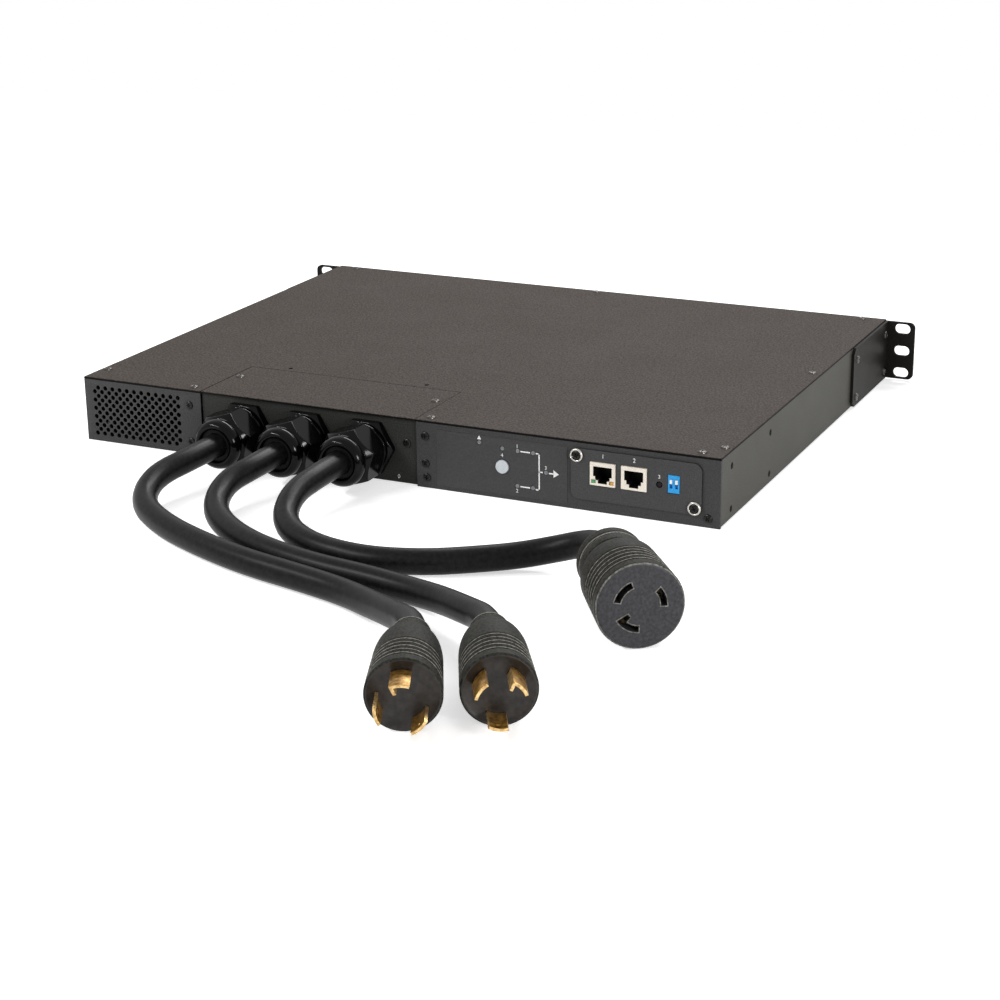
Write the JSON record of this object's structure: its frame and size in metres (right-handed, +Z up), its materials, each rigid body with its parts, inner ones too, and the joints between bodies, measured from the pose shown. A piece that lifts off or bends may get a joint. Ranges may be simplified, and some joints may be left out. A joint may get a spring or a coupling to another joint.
{
  "type": "rack static transfer switch",
  "caption": "One-unit rack box that switches a load between two supplies, with gland-held cords to locking plugs, an air grille, a mimic panel, a network card and rack ears at its far end.",
  "frame": {"origin": "on the floor plane under the middle of the box with its rack ears and cable glands, cords left out", "axes": "+Z up, -Y out of the side with the cords and controls, +X to the right as seen from that side"},
  "size_m": [0.5018, 0.6802, 0.0465],
  "materials": {
    "lid_coat": "warm dark grey textured powder coat",
    "tray_coat": "dark olive-grey textured powder coat",
    "fascia_coat": "dark grey fine textured powder coat",
    "zinc_plate": "zinc plated sheet",
    "black_steel": "black oxide",
    "black_nylon": "moulded, glossy",
    "black_rubber": "soft matte",
    "black_jacket": "satin cord jacket",
    "black_plug": "moulded matte",
    "brass_blade": "rolled, slightly tarnished",
    "overlay_film": "printed film",
    "lens_plastic": "clear grey, unlit",
    "button_plastic": "light grey, moulded",
    "jack_metal": "bright tin plate",
    "jack_plastic": "moulded black",
    "link_light": "tinted clear",
    "gold_contact": "gold flash",
    "blue_plastic": "moulded blue",
    "white_plastic": "moulded white",
    "bright_steel": "nickel plated",
    "board": "glass-epoxy circuit board",
    "sink_aluminium": "extruded, natural",
    "module_epoxy": "filled epoxy",
    "copper_lead": "insulated conductors"
  },
  "bodies": {
    "box": {"bay_partition": "zinc_plate", "board_spacers": "bright_steel", "board_standoffs": "bright_steel", "card_board": "board", "card_plate": "fascia_coat", "card_screw_collars": "bright_steel", "card_screws": "black_steel", "chassis_tray": "tray_coat", "control_board": "board", "control_panel": "fascia_coat", "cord_leads": "copper_lead", "cover_screws": "black_steel", "ear_screws": "black_steel", "gland_body_1": "black_nylon", "gland_body_2": "black_nylon", "gland_body_3": "black_nylon", "gland_locknuts": "black_nylon", "gland_nut_1": "black_nylon", "gland_nut_2": "black_nylon", "gland_nut_3": "black_nylon", "gland_seal_1": "black_rubber", "gland_seal_2": "black_rubber", "gland_seal_3": "black_rubber", "grille_panel": "fascia_coat", "heat_sink": "sink_aluminium", "input_blades_1": "brass_blade", "input_blades_2": "brass_blade", "input_cord_1": "black_jacket", "input_cord_2": "black_jacket", "input_plug_1": "black_plug", "input_plug_2": "black_plug", "jack_contacts": "gold_contact", "lid_screws": "black_steel", "link_lights": "link_light", "load_connector": "black_plug", "load_contacts": "brass_blade", "load_cord": "black_jacket", "local_jack_insert": "jack_plastic", "local_jack_shield": "jack_metal", "main_board": "board", "network_jack_insert": "jack_plastic", "network_jack_shield": "jack_metal", "panel_overlay": "overlay_film", "panel_screws": "black_steel", "push_switches": "jack_plastic", "rack_ear_left": "tray_coat", "rack_ear_right": "tray_coat", "slide_switch": "blue_plastic", "status_lights": "lens_plastic", "supply_transformer": "module_epoxy", "terminal_block": "jack_plastic", "thyristor_modules": "module_epoxy", "top_lid": "lid_coat", "wiring_cover": "lid_coat"},
    "test_button": {"test_button": "button_plastic"},
    "reset_button": {"reset_button": "jack_plastic"},
    "slider_1": {"slider_1": "white_plastic"},
    "slider_2": {"slider_2": "white_plastic"}
  },
  "joints": [
    {"name": "test_press", "type": "slide", "parent": "box", "child": "test_button", "axis": [0, 1, 0], "range_m": [0, 0.0006], "stiffness_N_per_m": 2500},
    {"name": "reset_press", "type": "slide", "parent": "box", "child": "reset_button", "axis": [0, 1, 0], "range_m": [0, 0.0005], "stiffness_N_per_m": 2500},
    {"name": "slider_1_set", "type": "slide", "parent": "box", "child": "slider_1", "axis": [0, 0, -1], "range_m": [0, 0.0028]},
    {"name": "slider_2_set", "type": "slide", "parent": "box", "child": "slider_2", "axis": [0, 0, -1], "range_m": [0, 0.0028]}
  ]
}
